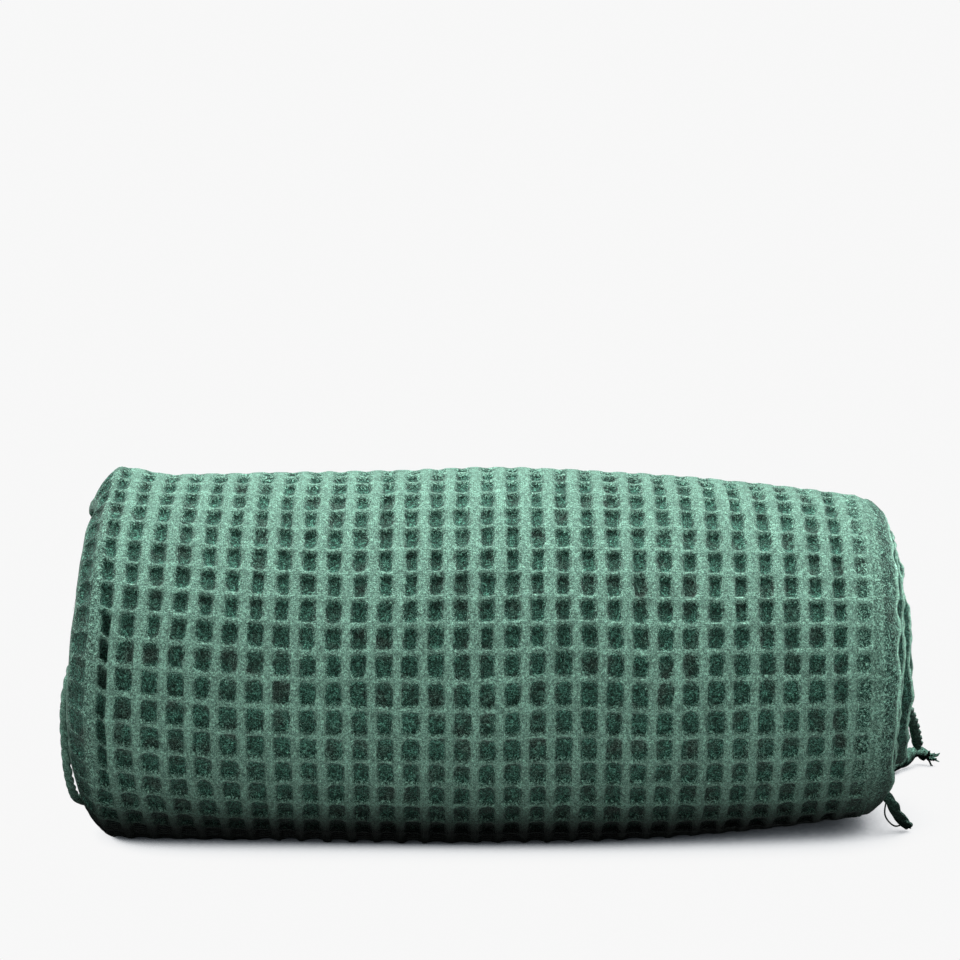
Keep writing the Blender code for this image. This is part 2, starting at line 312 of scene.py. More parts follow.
RIGHT_STRAND = (
    (0.1590, -0.0235, 0.0245),
    (0.1642, -0.0222, 0.0196),
    (0.1674, -0.0196, 0.0154),
    (0.1692, -0.0150, 0.0116),
    (0.1724, -0.0082, 0.0068),
    (0.1757, -0.0030, 0.0030),
)
LOOP_SAG = (-0.0038, -0.0028, -0.0030)
LOOP_THREAD = 0.00035

# Colours, as linear light.
RIB_GREEN = (0.173, 0.332, 0.259, 1.0)
# PIT_GREEN on the weave: partly the denser yarn's own darker green, partly painted shade of the recess; on the
# yarns a darker tone at random.
PIT_GREEN = (0.027, 0.077, 0.057, 1.0)
WARM_PIT = (0.034, 0.044, 0.037, 1.0)
YARN_GREEN = (0.150, 0.290, 0.226, 1.0)
# A darker copy of the yarn's green for the strands and the drum that lie in shade: painted shade.
SHADED_YARN_GREEN = (0.080, 0.166, 0.128, 1.0)
# (low z, high z, share of the colour at each): painted shade, dark where the cloth meets the floor.
PAINTED_CONTACT_SHADE = (0.009, 0.023, 0.02, 1.0)
SHEEN_COLOUR = (0.80, 0.95, 0.90, 1.0)
RAGGED_COLOUR = 0.20  # how far the fibres carry a rib's colour into the pits
WHITE = (0.935, 0.935, 0.935, 1.0)
BOUNCE_COLOUR = (1.62, 1.62, 1.62, 1.0)

# The stage.
SHADE_TOWARDS = (-0.40, -0.50, 0.77)  # the floor's shadow is shorter on this side, where the light comes in
SHADE_REACH = 0.075
# (how open the sky is, the floor's colour there): the floor's painted shadow.
SHADOW_STOPS = (
    (0.20, (0.010, 0.012, 0.014, 1)),
    (0.29, (0.115, 0.128, 0.141, 1)),
    (0.39, (0.61, 0.625, 0.645, 1)),
    (0.47, (0.84, 0.85, 0.86, 1)),
    (0.62, WHITE),
)
SWEEP_FLOOR = 3.0
SWEEP_ROUND = 1.5
SWEEP_WALL = 4.0
SWEEP_PARTS = 12
BOUNCE_FROM = -0.107
BOUNCE_DEEP = 1.5
BOUNCE_RIGHT = 0.36  # the floor's light also comes from here on, beside the right end
BOUNCE_BACK = 0.90
SOFTBOX_PLACE = (0.0, 0.08, 1.5)
SOFTBOX_SIZE = (1.8, 1.2)
SOFTBOX_POWER = 66.0
SKY_STRENGTH = 0.025
SKY_FROM = 0.05  # the sine of the height where the sky's light begins, and where it is full
SKY_FULL = 0.40
LENS = 121.3  # in mm, on a sensor this wide
SENSOR = 36.0
CAMERA_PLACE = (-0.0004, -1.3100, 0.3034)
CAMERA_TILT = 83.14  # degrees up from straight down


# Places on the strip.


def smooth(t):
    """0 before 0, 1 after 1, and smooth in between."""
    t = min(max(t, 0.0), 1.0)
    return t * t * (3 - 2 * t)


def between(low, high, value):
    """How far value is on its way from low to high, smoothed: low may be the higher one."""
    return smooth((value - low) / (high - low))


def along(marks, value):
    """The straight-line reading of value between (value, result) marks, carried on past the last ones."""
    for (a, start), (b, end) in zip(marks, marks[1:]):
        if value <= b:
            break
    return start + (end - start) * (value - a) / (b - a)


def radius_at(x, radius):
    """The radius at x of a turn that has this radius at mid-length."""
    share = min(abs(x) / HALF, 1.0)
    drop = RIGHT_DROP * share**RIGHT_POWER if x > 0 else LEFT_DROP * share**LEFT_POWER
    length, edge_drop = RIGHT_EDGE if x > 0 else LEFT_EDGE
    into_edge = min(max(1 - (HALF - abs(x)) / length, 0.0), 1.0)
    return radius * (1 - drop - edge_drop / BOTTOM_RADIUS * into_edge**2)


def wound(step, x):
    """(y, z) on the outer side of the strip, so many steps in from where it leaves the roll."""
    angle = step * STEP_ANGLE
    radius = radius_at(x, max(BOTTOM_RADIUS - TURN_THICK * step / STEPS, 0.0))
    z = AXIS_HEIGHT - radius * math.cos(angle)
    floor = FLOOR_SQUEEZE * TURN_THICK * round(step / STEPS)
    return -radius * math.sin(angle), max(z, floor)


def flap(step, level, x):
    """(y, z) in the free end: step 0 is under the axis, FLAP_STEPS the tip; level counts up from below."""
    share = step / FLAP_STEPS
    layer = LAYER_THICK * (FLOOR_SQUEEZE + (1 - FLOOR_SQUEEZE) * share)
    return FLAP_REACH * share, wound(0, x)[1] + layer * level


def place(step, level, x):
    """(y, z) of a point of the strip: level 0 is its outer side, and level LAYERS its inner side."""
    if step < 0:
        return flap(-step, level, x)
    outer, inner = wound(step, x), wound(step + STEPS, x)
    share = level / LAYERS
    return outer[0] + (inner[0] - outer[0]) * share, outer[1] + (inner[1] - outer[1]) * share


def wander(step, x):
    """How far the outer turn is pulled to the right at its left end: most at its upper left."""
    if not LEFT_WANDER[0][0] < step < LEFT_WANDER[-1][0]:
        return 0.0
    return along(LEFT_WANDER, step) * between(*WANDER_SHARES, -x / HALF)


def push(step):
    """How far an inner turn has slid along X: most at a third of the way in, with a slow wave."""
    share = min(max(step / STEPS - 1, 0.0) / (TURNS_SHOWN - 1), 1.0)
    angle = step * STEP_ANGLE
    slid = (INNER_PUSH + PUSH_TILT * math.cos(angle)) * math.sin(math.pi * share**PUSH_POWER) ** 2
    return slid + WAVE * smooth(share * 4) * math.sin(WAVES_IN_A_TURN * angle)


def on_strip(step, level, x):
    """The point at this step, level and x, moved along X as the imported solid's ends are."""
    y, z = place(step, level, x)
    return Vector((x + push(step + level * STEPS / LAYERS) + wander(step, x), y, max(z, 0.0)))


# The weave.


def row_step(row):
    """Where this row lies along the winding, in steps."""
    return FRONT_STEP + (STEPS_A_ROW if row > FRONT_ROW else STEPS_A_LOW_ROW) * (row - FRONT_ROW)


def levelled(step, x):
    """This step, shifted so that its row stays nearly level where the roll narrows to the right."""
    if x < 0:
        return step
    angle = step * STEP_ANGLE
    narrowed = BOTTOM_RADIUS / radius_at(min(x, RIB_MARKS[-1][1]), BOTTOM_RADIUS) - 1
    share = LEVELLING_ABOVE if math.cos(angle) < 0 else LEVELLING_BELOW
    turned = share * narrowed * math.cos(angle) / max(math.sin(angle), LEVELLING_SINE)
    return step - turned / STEP_ANGLE


def row_rise(column):
    """How far the rows climb towards the left end, in steps."""
    if column >= ROW_RISE[-1][0]:
        return 0.0
    return along(ROW_RISE, max(column, ROW_RISE[0][0]))


def stops(low, high, fractions):
    """Every place from low to high that is a whole number plus one of the fractions."""
    places = [whole + part for whole in range(math.floor(low), math.ceil(high)) for part in fractions]
    return [low, *(place for place in places if low < place < high), high]


def even(low, high, count):
    """This many equal parts from low to high."""
    return [low + (high - low) * k / count for k in range(count + 1)]


def uneven(column, row, most, size, layer):
    """Smooth noise over the cloth, from -most to most, with spots of about this many cells."""
    return most * noise.noise(Vector((column / size, row / size, layer)))


def bump(value, centre, half):
    """1 at the centre, falling smoothly to 0 at half on both sides."""
    return 1 - smooth(abs(value - centre) / half)


def weave_height(column, row, deep=0.0, closed=0.0):
    """1 on a rib and 0 at the bottom of a pit: each cell's pit is a rounded box with sloping sides."""
    if 0 <= column < 1:
        row += TROUGH_SKEW * deep * (column - 0.5)
    cell = math.floor(column), math.floor(row)
    squeezed = deep if cell[0] == 0 else 0.0
    half = PIT_HALF[0] * (1 + uneven(*cell, *PIT_WIDTHS)) * (1 - TROUGH_SQUEEZE * squeezed) * (1 - closed)
    across = abs(column - cell[0] - 0.5 - TROUGH_SHIFT * squeezed) / half
    beside = abs(row - cell[1] - 0.5) / (PIT_HALF[1] * (1 + uneven(*cell, *PIT_LENGTHS)))
    out = (across**PIT_SQUARENESS + beside**PIT_SQUARENESS) ** (1 / PIT_SQUARENESS)
    out += uneven(column, row, *RAGGED_RIM)
    rim = between(PIT_FLOOR, 1.0, out)
    on_bar = between(0.8, 0.3, across)
    return rim * (1 - BAR_DIP * on_bar) + FLOOR_BOWL * out * (1 - rim)


def in_trough(step):
    """1 along the deep trough beside the left fold."""
    begin, full, still, over = TROUGH_STEPS
    return between(begin, full, step) * (1 - between(still, over, step))


def fold_pull(step):
    """How far the left fold is pulled in under its upper corner, in metres."""
    return sum(pull * bump(step, centre, half) for pull, centre, half in FOLD_PULLS)


def strip_profile(column, depth):
    """(x, level) of this column, this deep under the surface: below column 0 it goes round the left fold."""
    if column >= 0:
        return along(RIB_MARKS, column), depth / LAYER_THICK
    arc = -column * FOLD_CELL
    flat = RIB_MARKS[0][1] - FOLD_FLAT_TO
    if arc < flat:
        return RIB_MARKS[0][1] - arc, depth / LAYER_THICK
    turned = (arc - flat) / (TURN_THICK / 2)
    reach = TURN_THICK / 2 - depth
    return FOLD_FLAT_TO - reach * math.sin(turned), (TURN_THICK / 2 - reach * math.cos(turned)) / LAYER_THICK


def edge_profile(arc, low, high):
    """(inset, level) of a folded edge between two levels: arc is 0 at the very edge, above 0 further in."""
    half = (high - low) / 2
    radius = half * LAYER_THICK
    turned = min(max(arc / radius, -math.pi / 2), math.pi / 2)
    beyond = max(abs(arc) - radius * math.pi / 2, 0.0)
    return radius * (1 - math.cos(turned)) + beyond, (low + high) / 2 + half * math.sin(turned)


def by_stitching(column):
    """1 on the stitching, falling to 0 beside it."""
    return bump(column, STITCH_COLUMN, STITCH_HALF)


def hem_point(column, row, step):
    """A point of the outer turn past the stitching, on the doubled cloth of its hem, and how dark it is, with
    painted shade and a painted highlight on its lip.
    """
    past = column - STITCH_COLUMN
    flat = HALF - RIB_MARKS[-1][1]
    arc = past * HEM_CELL - flat + HEM_ROUND * LAYER_THICK
    inset, level = edge_profile(arc, *HEM_LEVELS)
    groove = STITCH_GROOVE * by_stitching(column)
    lip = HEM_LIP * bump(arc, *HEM_LIP_AT)
    puff = uneven(column, row, *HEM_PUFF) * between(0.0, 0.3, past)
    lift = TOP_LIFT * bump(step, *TOP_STEPS) * bump(arc, -0.004, 0.006)
    level += (groove - lip - puff - lift) / LAYER_THICK
    wave = HEM_REACH + uneven(0, row, *HEM_WAVE) + uneven(0, row, *HEM_RIPPLE)
    # the hem's darker tone and painted shade, with painted shade along the stitching
    shade = HEM_TONE_AND_PAINTED_SHADE * between(-0.02, 0.3, past) + STITCH_PAINTED_SHADE * by_stitching(column)
    # painted highlight along the hem's lip
    shade -= PAINTED_LIP_HIGHLIGHT * bump(arc, *LIP)
    return on_strip(step, level, HALF - inset + wave * between(0.2, 0.9, past)), shade


def outer_point(column, row):
    """A point of the outer turn's cloth, and how dark it is, from 0 on a rib to 1 at the bottom of a pit, with
    painted shade and highlight.
    """
    step = levelled(row_step(row), along(RIB_MARKS, column)) + row_rise(column)
    step += uneven(column, row, *ROW_JITTER) + uneven(column, row, *ROW_DRIFT)
    step += ROW_HUMP * bump(column, *ROW_HUMP_AT) * between(*ROW_HUMP_STEPS, step)
    if column > STITCH_COLUMN:
        return hem_point(column, row, step)
    deep = in_trough(step)
    height = weave_height(column, row, deep, TOP_CLOSE * between(*TOP_CLOSE_STEPS, step))
    if column > STITCH_COLUMN - 1:
        shallow = HEM_PIT
    else:
        shallow = 1 - (1 - FOLD_DIMPLE) * deep * between(0.0, -0.2, column)
    depth = PIT_DEPTH * shallow * (1 + uneven(math.floor(column), math.floor(row), *PIT_DEPTHS))
    pit = (1 - height) * depth * (1 + TROUGH_DEPTH * deep * bump(column, 0.5, 0.9))
    swell = uneven(column, row, *SWELL) + uneven(column, row, *RIPPLE)
    near_corner = between(2.5, -0.2, column) * between(-1.9, -0.9, column)
    corner = CORNER_PUFF * bump(step, *CORNER_STEPS) * near_corner
    groove = STITCH_GROOVE * by_stitching(column)
    below = pit + swell + SURFACE_SINK + groove - corner - TOP_LIFT * bump(step, *TOP_STEPS)
    x, level = strip_profile(column, below)
    x += uneven(column, row, *COLUMN_DRIFT) + uneven(column, row, *COLUMN_JITTER)
    x += TROUGH_OVERHANG * deep * height * bump(column, 0.15, 0.55)
    x += fold_pull(step) * between(0.6, -0.8, column)
    # painted highlight: a pale line down the left fold
    pale = PAINTED_LIP_HIGHLIGHT * bump(column, *FOLD_LIP) * bump(step, *FOLD_LIP_STEPS)
    # painted shade on the left fold and in the groove along the stitching
    shade = FOLD_PAINTED_SHADE * between(1.0, -0.4, column) + STITCH_PAINTED_SHADE * by_stitching(column)
    # the pits' darkness, with more painted shade up their walls on the fold
    dark = (1 - height) * shallow * (1 + FOLD_PIT_PAINTED_SHADE * between(0.3, -0.3, column))
    return on_strip(step, level, x), dark + shade - pale


def inner_fold_point(column, step):
    """A point of the left fold of an inner turn."""
    height = weave_height(column, step / STEPS_A_ROW)
    depth = (1 - height) * INNER_PIT * PIT_DEPTH + uneven(column, step, *INNER_DENTS) + INNER_SINK
    x, level = strip_profile(column, depth)
    pulled = (wander(step % STEPS, x) + fold_pull(step % STEPS)) * between(*PULLED_TURNS, step / STEPS)
    return on_strip(step, level, x) + Vector((pulled, 0, 0)), 1 - height


def edge_of(low, high, back):
    """The point function of an edge at the right end: its columns are arcs, and its rows are steps."""

    def point(arc, step):
        inset, level = edge_profile(arc, low, high)
        wave = uneven(low, step, *EDGE_WAVE) + uneven(low, step, *EDGE_RIPPLE)
        rough = uneven(arc * ARC_CELLS, step, *EDGE_ROUGH)
        squeeze = 1 - abs(uneven(low, step, *EDGE_SQUEEZE))
        middle = (low + high) / 2
        level = middle + (level - middle) * squeeze + rough / LAYER_THICK * (1 if level > middle else -1)
        level += EDGE_TUCK * between(*TUCK_ARCS, arc)
        y, z = place(step, level, HALF - back - inset)
        slid = along(RIGHT_SLIDE, step) if step > STEPS else 0.0
        x = HALF - back - inset + wave + rough + slid
        # the hem's tone with painted shade where it tucks in, and a painted highlight on its lip
        dark = HEM_TONE_AND_PAINTED_SHADE + EDGE_PAINTED_SHADE * between(*PAINTED_SHADE_ARCS, arc) - PAINTED_LIP_HIGHLIGHT * bump(arc, *LIP)
        return Vector((x, y, max(z, 0.0))), dark

    return point


def free_end_point(column, step):
    """A point of the cloth that shows on top of the free end."""
    height = weave_height(column, step / STEPS_A_ROW)
    depth = (1 - height) * PIT_DEPTH * FREE_END_PIT + FREE_END_SINK + uneven(column, step, *FREE_END_SWELL)
    x = along(RIB_MARKS, column)
    y, z = place(step, LAYERS - depth / LAYER_THICK, x)
    return Vector((x, y, z)), 1 - height


def end_edge_of(layer):
    """The point function of one layer's edge across the free end, where its strands begin."""

    def point(column, arc):
        if column < STITCH_COLUMN:
            x = along(RIB_MARKS, column)
        else:
            x = RIB_MARKS[-1][1] + (column - STITCH_COLUMN) * HEM_CELL
        x -= RIGHT_BACK[layer] * between(30.5, 31.8, column)
        inset, level = edge_profile(arc, layer + END_EDGE_GAP, layer + 1 - END_EDGE_GAP)
        wave = uneven(column, layer, *END_EDGE_WAVE) + uneven(column, layer * 7, *END_EDGE_RIPPLE)
        share = 1 + (wave - inset) / FLAP_REACH
        y, z = flap(FLAP_STEPS * share, level, x)
        # painted highlight along the very edge
        return Vector((x, y, z)), -0.4 * bump(arc, 0.0, 0.0015)

    return point


def mesh_object(name, bm):
    """The finished bmesh as a named object."""
    mesh = bpy.data.meshes.new(name)
    bm.to_mesh(mesh)
    bm.free()
    obj = bpy.data.objects.new(name, mesh)
    bpy.context.scene.collection.objects.link(obj)
    return obj


def woven_sheet(name, columns, rows, point, cell_size=(1.0, 1.0), turn_over=False):
    """A piece of cloth: a grid whose vertices lie where point says, with its weave as a UV map."""
    bm = bmesh.new()
    bmesh.ops.create_grid(bm, x_segments=len(columns) - 1, y_segments=len(rows) - 1, size=0.5)
    uv_layer = bm.loops.layers.uv.new("weave")
    # The pit layer holds how dark the colour is: the pits' darker yarn with painted shade, and below 0 a
    # painted highlight.
    pit_layer = bm.verts.layers.float.new("pit")
    cell = {}
    for vertex in bm.verts:
        column = columns[round((vertex.co.x + 0.5) * (len(columns) - 1))]
        row = rows[round((vertex.co.y + 0.5) * (len(rows) - 1))]
        cell[vertex] = (column / cell_size[0], row / cell_size[1])
        vertex.co, vertex[pit_layer] = point(column, row)
    for face in bm.faces:
        face.smooth = True
        for loop in face.loops:
            loop[uv_layer].uv = cell[loop.vert]
    if turn_over:
        bmesh.ops.reverse_faces(bm, faces=bm.faces)
    return mesh_object(name, bm)


# Cords and threads.


def curve_through(points, spacing):
    """Places about this far apart on a smooth curve through the points: each part is a cubic between two."""
    points = [Vector(point) for point in points]
    ends = [2 * points[0] - points[1], *points, 2 * points[-1] - points[-2]]
    placed = []
    for a, b, c, d in zip(ends, ends[1:], ends[2:], ends[3:]):
        parts = max(round((c - b).length / spacing), 1)
        for k in range(parts):
            t = k / parts
            square, cube = 2 * a - 5 * b + 4 * c - d, 3 * b - 3 * c + d - a
            placed.append(0.5 * (2 * b + (c - a) * t + square * t**2 + cube * t**3))
    return [*placed, points[-1]]


def thread_curve(sides):
    """An empty curve whose splines are round threads, with each point's radius in metres."""
    curve = bpy.data.curves.new("threads", "CURVE")
    curve.dimensions = "3D"
    curve.bevel_depth = 1.0
    curve.bevel_resolution = sides
    curve.use_fill_caps = True
    return curve


def lay_thread(curve, points, radii):
    """Adds a thread through the points."""
    spline = curve.splines.new("POLY")
    spline.points.add(len(points) - 1)
    for target, point, radius in zip(spline.points, points, radii):
        target.co = (*point, 1.0)
        target.radius = radius


def frame_along(path):
    """(tangent, aside, up) at each place of a path."""
    frames = []
    for here, there in zip([path[0], *path[:-1]], [*path[1:], path[-1]]):
        tangent = (there - here).normalized()
        aside = tangent.cross(Vector((0, 0, 1)))
        if aside.length < 0.2:
            aside = tangent.cross(Vector((0, 1, 0)))
        aside.normalize()
        frames.append((tangent, aside, aside.cross(tangent)))
    return frames


def twist_strand(curve, points, width, rng, spacing, flatten=1.0, plies=2, lay=TWIST_LENGTH, root=1.15):
    """Plies twisted along the points, with a full turn lay long, and root times as wide at the root."""
    path = curve_through(points, spacing)
    frames = frame_along(path)
    phase = rng.uniform(0, math.tau)
    travelled = [0.0]
    for here, there in zip(path, path[1:]):
        travelled.append(travelled[-1] + (there - here).length)
    for ply in range(plies):
        centres, radii = [], []
        for spot, (_, aside, up), far in zip(path, frames, travelled):
            size = width * (1 + (root - 1) * (1 - smooth(far / ROOT_LENGTH)))
            angle = phase + math.tau * (ply / plies + far / lay)
            reach = size * PLY_REACH * plies / 2
            centre = spot + aside * (reach * math.cos(angle)) + up * (reach * math.sin(angle) * flatten)
            radius = size * PLY_RADIUS * 2 / plies * (1 + 0.03 * math.sin(far * 2100 + ply))
            centre.z = max(centre.z, radius)
            centres.append(centre)
            radii.append(radius)
        lay_thread(curve, centres, radii)
    return path, frames


def tie_knot(curve, path, frames, share, width, rng):
    """A strand knotted round itself: two slanting loops, close together."""
    at = min(round(share * (len(path) - 1)), len(path) - 1)
    tangent, aside, up = frames[at]
    for turn, slant in KNOT_LOOPS:
        phase = rng.uniform(0, math.tau)
        loop = []
        for k in range(KNOT_PARTS + 1):
            angle = math.tau * k / KNOT_PARTS
            lean = slant * math.sin(angle + phase)
            offset = aside * math.cos(angle) + up * math.sin(angle) + tangent * (lean + turn)
            spot = path[at] + offset * width * KNOT_REACH
            spot.z = max(spot.z, width * KNOT_THREAD)
            loop.append(spot)
        lay_thread(curve, loop, [width * KNOT_THREAD] * len(loop))


def fray_end(curve, path, width, rng, count, length, spread):
    """Fine threads that fan out of the strand's end."""
    tip = path[-1]
    ahead = (path[-1] - path[-4]).normalized()
    for _ in range(count):
        away = Vector((rng.uniform(-1, 1), rng.uniform(-1, 1), rng.uniform(-0.6, 1))) * spread
        reach = length * rng.uniform(0.6, 1.1)
        start = tip - ahead * 0.001 + away * width * 0.15
        middle = tip + ahead * reach * 0.5 + away * reach * 0.35
        end = tip + (ahead + away).normalized() * reach
        points = curve_through([start, middle, end], reach / 4)
        radius = width * rng.uniform(*FRAY_THREAD)
        for point in points:
            point.z = max(point.z, radius)
        lay_thread(curve, points, [radius] * (len(points) - 1) + [radius * 0.5])


def curve_to_mesh(curve, name):
    """The curve's threads as the mesh of a named object."""
    maker = bpy.data.objects.new(name + "_curve", curve)
    bpy.context.scene.collection.objects.link(maker)
    mesh = bpy.data.meshes.new_from_object(maker)
    bpy.data.objects.remove(maker)
    mesh.name = name
    mesh.shade_smooth()
    obj = bpy.data.objects.new(name, mesh)
    bpy.context.scene.collection.objects.link(obj)
    return obj


def strand_path(x, height, length, level, sway_phase, drift):
    """Centre points of a fringe strand: it comes down from its root and lies level, leaning outwards."""
    lean = RIGHT_SPREAD * between(0.4, 1.0, x / ROW_HALF) - LEFT_SPREAD * between(0.4, 1.0, -x / ROW_HALF)
    sway = SWAY * math.sin(SWAYS_IN_A_ROW * math.pi * x / ROW_HALF + sway_phase)
    path = []
    for share in STRAND_SHARES:
        resting = level + STRAND / 2
        z = height + (resting - height) * smooth(share * length / SETTLE)
        curl = drift * math.sin(share * 4.2 + drift * 900)
        aside = (lean + sway) * share**1.5 + curl * share
        path.append((x + aside, FLAP_REACH - ROOT_INSIDE + share * length, z))
    return path


def build_fringe_row(name, levels, rest_level, sway_phase, corner, seed):
    """One row of twisted strands out of two layers of the free end, each with a knot and a frayed tip."""
    rng = random.Random(seed)
    curve = thread_curve(1)
    pitch = 2 * ROW_HALF / STRANDS_IN_A_ROW
    for k in range(STRANDS_IN_A_ROW - 1):
        x = -ROW_HALF + pitch * (k + 0.5) + rng.uniform(-0.0008, 0.0008)
        height = flap(FLAP_STEPS, levels[0] + 0.5 + k % 2, x)[1]
        length = STRAND_LENGTHS[k % 2] + ROOT_INSIDE + rng.uniform(-0.003, 0.003)
        points = strand_path(x, height, length, rest_level, sway_phase, rng.uniform(-0.0012, 0.0012))
        path, frames = twist_strand(curve, points, STRAND, rng, root=1.3, spacing=0.0016)
        tie_knot(curve, path, frames, KNOT_PLACE + rng.uniform(-0.02, 0.02), STRAND * 1.25, rng)
        fray_end(curve, path, STRAND, rng, count=5, length=0.007, spread=0.35)
    build_corner(curve, corner, rng)
    return curve_to_mesh(curve, name)


def build_corner(curve, corner, rng):
    """The last strand of a row, which shows beside the roll: the lower row's is knotted and frays widely."""
    knotted = corner == CORNER_LOW
    width = STRAND * (2.2 if knotted else 2.0)
    path, frames = twist_strand(curve, corner, width, rng, plies=3, lay=0.020, spacing=0.0010)
    if knotted:
        tie_knot(curve, path, frames, 0.66, STRAND * 1.5, rng)
        fray_end(curve, path, STRAND * 1.6, rng, count=28, length=0.0072, spread=0.95)
    else:
        fray_end(curve, path, STRAND * 1.6, rng, count=14, length=0.0014, spread=0.14)


def build_inner_turns():
    """The rest of the wound cloth, as one drum: only glimpsed between the turns at the two ends."""
    bm = bmesh.new()
    left, right = DRUM_ENDS
    bmesh.ops.create_cone(
        bm, cap_ends=True, segments=64, radius1=DRUM_RADIUS, radius2=DRUM_RADIUS, depth=right - left
    )
    bmesh.ops.rotate(bm, matrix=Matrix.Rotation(math.pi / 2, 3, "Y"), verts=bm.verts)
    bmesh.ops.translate(bm, vec=((left + right) / 2, 0.0, AXIS_HEIGHT), verts=bm.verts)
    return mesh_object("inner_turns", bm)


def build_left_strand():
    """The long twisted strand that hangs down the left end."""
    rng = random.Random(11)
    curve = thread_curve(2)
    twist_strand(curve, LEFT_STRAND, STRAND * 1.4, rng, plies=3, lay=0.017, spacing=0.0009)
    return curve_to_mesh(curve, "left_hanging_strand")


def build_right_strand():
    """The short flattened strand at the lower right, with a loose loop and a frayed tip."""
    rng = random.Random(12)
    curve = thread_curve(2)
    width = STRAND * 1.95
    path, _ = twist_strand(curve, RIGHT_STRAND, width, rng, flatten=0.7, plies=4, lay=0.045, spacing=0.0009)
    fray_end(curve, path, STRAND * 1.8, rng, count=20, length=0.0024, spread=0.6)
    start, end = path[9], path[-3]
    sag = Vector(LOOP_SAG)
    loop = curve_through([start, start.lerp(end, 0.35) + sag, start.lerp(end, 0.8) + sag * 0.9, end], 0.0012)
    for point in loop:
        point.z = max(point.z, 0.0006)
    lay_thread(curve, loop, [LOOP_THREAD] * len(loop))
    return curve_to_mesh(curve, "right_hanging_strand")


def build_stitches():
    """The row of small stitches that holds the side hem of the outer turn."""
    curve = thread_curve(1)
    step = row_step(FIRST_ROW + 0.3)
    last = row_step(LAST_ROW - 0.5)
    while step < last:
        points = []
        for share, depth in ((0, 0.0008), (0.25, 0.0001), (0.75, 0.0001), (1, 0.0008)):
            x = RIB_MARKS[-1][1] + uneven(step, 0, *STITCH_WANDER)
            points.append(on_strip(step + share * STITCH_LENGTH, (SURFACE_SINK + depth) / LAYER_THICK, x))
        lay_thread(curve, points, (0.00016, 0.00022, 0.00022, 0.00016))
        step += STITCH_LENGTH * STITCH_PITCH
    return curve_to_mesh(curve, "hem_stitches")


def build_fibres():
    """Stray fibres that stand up from the brushed cloth."""
    rng = random.Random(21)
    curve = thread_curve(0)
    for _ in range(FIBRES):
        column, row = rng.uniform(-1.0, 31.5), rng.uniform(4.0, 18.0)
        turn, length = rng.uniform(0, math.tau), rng.uniform(0.15, 0.75)
        points = []
        for share in (0, 0.3, 0.65, 1):
            bend = turn + rng.uniform(-0.5, 0.5) * share
            u = min(column + math.cos(bend) * length * share, 31.9)
            v = row + math.sin(bend) * length * share
            lift = 0.0004 * math.sin(math.pi * share * 0.8)
            x, level = strip_profile(u, -lift)
            points.append(on_strip(row_step(v) + row_rise(u), level, x))
        lay_thread(curve, points, (0.00005, 0.00005, 0.00004, 0.00002))
    return curve_to_mesh(curve, "stray_fibres")


# Materials.


def add(tree, kind, **settings):
    """A new node with these settings."""
    made = tree.nodes.new(kind)
    for key, value in settings.items():
        setattr(made, key, value)
    return made


class Finish:
    """A material's node tree, with short ways to add its textures, ramps and bumps."""

    def __init__(self, name):
        self.material = bpy.data.materials.new(name)
        self.material.use_nodes = True
        self.tree = self.material.node_tree
        self.shader = self.tree.nodes["Principled BSDF"]
        self.where = add(self.tree, "ShaderNodeTexCoord").outputs["Object"]

    def link(self, source, target):
        self.tree.links.new(source, target)

    def noise(self, scale, detail=2.0, distortion=0.0, roughness=0.5):
        made = add(self.tree, "ShaderNodeTexNoise")
        made.inputs["Scale"].default_value = scale
        made.inputs["Detail"].default_value = detail
        made.inputs["Distortion"].default_value = distortion
        made.inputs["Roughness"].default_value = roughness
        self.link(self.where, made.inputs["Vector"])
        return made.outputs["Fac"]

    def ramp(self, value, low, high, dark, light):
        made = add(self.tree, "ShaderNodeMapRange")
        made.inputs["From Min"].default_value = low
        made.inputs["From Max"].default_value = high
        made.inputs["To Min"].default_value = dark
        made.inputs["To Max"].default_value = light
        self.link(value, made.inputs["Value"])
        return made.outputs["Result"]

    def plus(self, value, more):
        made = add(self.tree, "ShaderNodeMath", operation="ADD")
        self.link(value, made.inputs[0])
        self.link(more, made.inputs[1])
        return made.outputs["Value"]

    def blend(self, a, b, share):
        made = add(self.tree, "ShaderNodeMix", data_type="FLOAT")
        self.link(share, made.inputs[0])
        self.link(a, made.inputs[2])
        self.link(b, made.inputs[3])
        return made.outputs[0]

    def lines(self, noise_value, width):
        """1 on the curled lines where the noise is at its middle, and 0 beside them."""
        made = add(self.tree, "ShaderNodeMath", operation="SUBTRACT")
        made.inputs[1].default_value = 0.5
        self.link(noise_value, made.inputs[0])
        away = add(self.tree, "ShaderNodeMath", operation="ABSOLUTE")
        self.link(made.outputs["Value"], away.inputs[0])
        return self.ramp(away.outputs["Value"], 0.0, width, 1.0, 0.0)

    def mix(self, a, b, share):
        made = add(self.tree, "ShaderNodeMix", data_type="RGBA")
        for socket, colour in ((made.inputs[6], a), (made.inputs[7], b)):
            if isinstance(colour, tuple):
                socket.default_value = colour
            else:
                self.link(colour, socket)
        self.link(share, made.inputs[0])
        return made.outputs[2]

    def times(self, colour, factor):
        made = add(self.tree, "ShaderNodeMix", data_type="RGBA", blend_type="MULTIPLY")
        made.inputs[0].default_value = 1.0
        self.link(colour, made.inputs[6])
        self.link(factor, made.inputs[7])
        return made.outputs[2]

    def bump(self, height, distance, strength, under=None):
        made = add(self.tree, "ShaderNodeBump")
        made.inputs["Distance"].default_value = distance
        made.inputs["Strength"].default_value = strength
        self.link(height, made.inputs["Height"])
        if under:
            self.link(under, made.inputs["Normal"])
        return made.outputs["Normal"]


